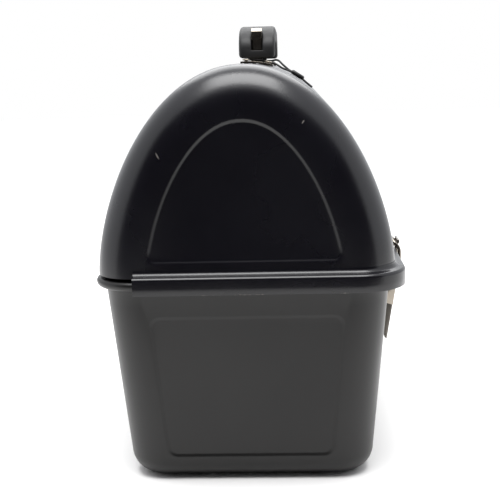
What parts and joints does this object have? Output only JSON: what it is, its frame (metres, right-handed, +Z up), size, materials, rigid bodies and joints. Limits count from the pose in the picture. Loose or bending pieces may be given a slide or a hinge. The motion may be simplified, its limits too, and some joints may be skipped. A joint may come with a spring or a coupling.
{
  "type": "dome-top lunch box",
  "caption": "Dome-top steel lunch box: tapered tub with rolled rim, hinged barrel lid, draw latches and a lift-up carry handle on its ridge.",
  "frame": {"origin": "centre of the tub's flat bottom", "axes": "+Z up, +Y along the box, +X towards the latches, -X the hinges"},
  "size_m": [0.1763, 0.3306, 0.2498],
  "materials": {
    "lid_powder_coat": "black powder coat, satin",
    "tub_powder_coat": "warm black powder coat, satin",
    "plated_steel": "bright nickel plate",
    "lever_steel": "dull zinc plate",
    "grip_plastic": "moulded, fine spark texture",
    "tag_cord": "twisted black cord"
  },
  "bodies": {
    "tub": {"tub_shell": "tub_powder_coat", "hinge_left_tub_leaf": "plated_steel", "hinge_left_pin": "plated_steel", "hinge_left_tub_rivet_1": "plated_steel", "hinge_left_tub_rivet_2": "plated_steel", "hinge_right_tub_leaf": "plated_steel", "hinge_right_pin": "plated_steel", "hinge_right_tub_rivet_1": "plated_steel", "hinge_right_tub_rivet_2": "plated_steel", "latch_left_plate": "plated_steel", "latch_left_plate_rivet_1": "plated_steel", "latch_left_plate_rivet_2": "plated_steel", "latch_left_pivot_a": "plated_steel", "latch_left_pivot_b": "plated_steel", "latch_right_plate": "plated_steel", "latch_right_plate_rivet_1": "plated_steel", "latch_right_plate_rivet_2": "plated_steel", "latch_right_pivot_a": "plated_steel", "latch_right_pivot_b": "plated_steel"},
    "lid": {"lid_shell": "lid_powder_coat", "hinge_left_lid_leaf": "plated_steel", "hinge_left_lid_rivet_1": "plated_steel", "hinge_left_lid_rivet_2": "plated_steel", "hinge_right_lid_leaf": "plated_steel", "hinge_right_lid_rivet_1": "plated_steel", "hinge_right_lid_rivet_2": "plated_steel", "latch_left_keeper": "plated_steel", "latch_left_keeper_rivet_1": "plated_steel", "latch_left_keeper_rivet_2": "plated_steel", "latch_right_keeper": "plated_steel", "latch_right_keeper_rivet_1": "plated_steel", "latch_right_keeper_rivet_2": "plated_steel", "handle_bracket_left": "plated_steel", "handle_bracket_left_rivet_1": "plated_steel", "handle_bracket_left_rivet_2": "plated_steel", "handle_bracket_right": "plated_steel", "handle_bracket_right_rivet_1": "plated_steel", "handle_bracket_right_rivet_2": "plated_steel", "tag_cord": "tag_cord"},
    "handle": {"handle_grip": "grip_plastic"},
    "latch_left_lever": {"latch_left_lever": "lever_steel"},
    "latch_left_bail": {"latch_left_bail": "plated_steel"},
    "latch_right_lever": {"latch_right_lever": "lever_steel"},
    "latch_right_bail": {"latch_right_bail": "plated_steel"}
  },
  "joints": [
    {"name": "lid_hinge", "type": "hinge", "parent": "tub", "child": "lid", "pos_m": [-0.0854, 0, 0.1158], "axis": [0, -1, 0], "range_deg": [0, 105]},
    {"name": "handle_lift", "type": "slide", "parent": "lid", "child": "handle", "axis": [0, 0, 1], "range_m": [0, 0.006]},
    {"name": "latch_left_lever_pivot", "type": "hinge", "parent": "tub", "child": "latch_left_lever", "pos_m": [0.0826, -0.08, 0.0999], "axis": [0, -1, 0], "range_deg": [0, 110]},
    {"name": "latch_left_bail_pivot", "type": "hinge", "parent": "latch_left_lever", "child": "latch_left_bail", "pos_m": [0.0798, -0.08, 0.0914], "axis": [0, -1, 0], "range_deg": [-86, 0]},
    {"name": "latch_right_lever_pivot", "type": "hinge", "parent": "tub", "child": "latch_right_lever", "pos_m": [0.0826, 0.08, 0.0999], "axis": [0, -1, 0], "range_deg": [0, 110]},
    {"name": "latch_right_bail_pivot", "type": "hinge", "parent": "latch_right_lever", "child": "latch_right_bail", "pos_m": [0.0798, 0.08, 0.0914], "axis": [0, -1, 0], "range_deg": [-86, 0]}
  ],
  "couplings": [
    {"joint": "latch_left_bail_pivot", "follows": "latch_left_lever_pivot", "ratio": -0.78},
    {"joint": "latch_right_bail_pivot", "follows": "latch_right_lever_pivot", "ratio": -0.78}
  ]
}
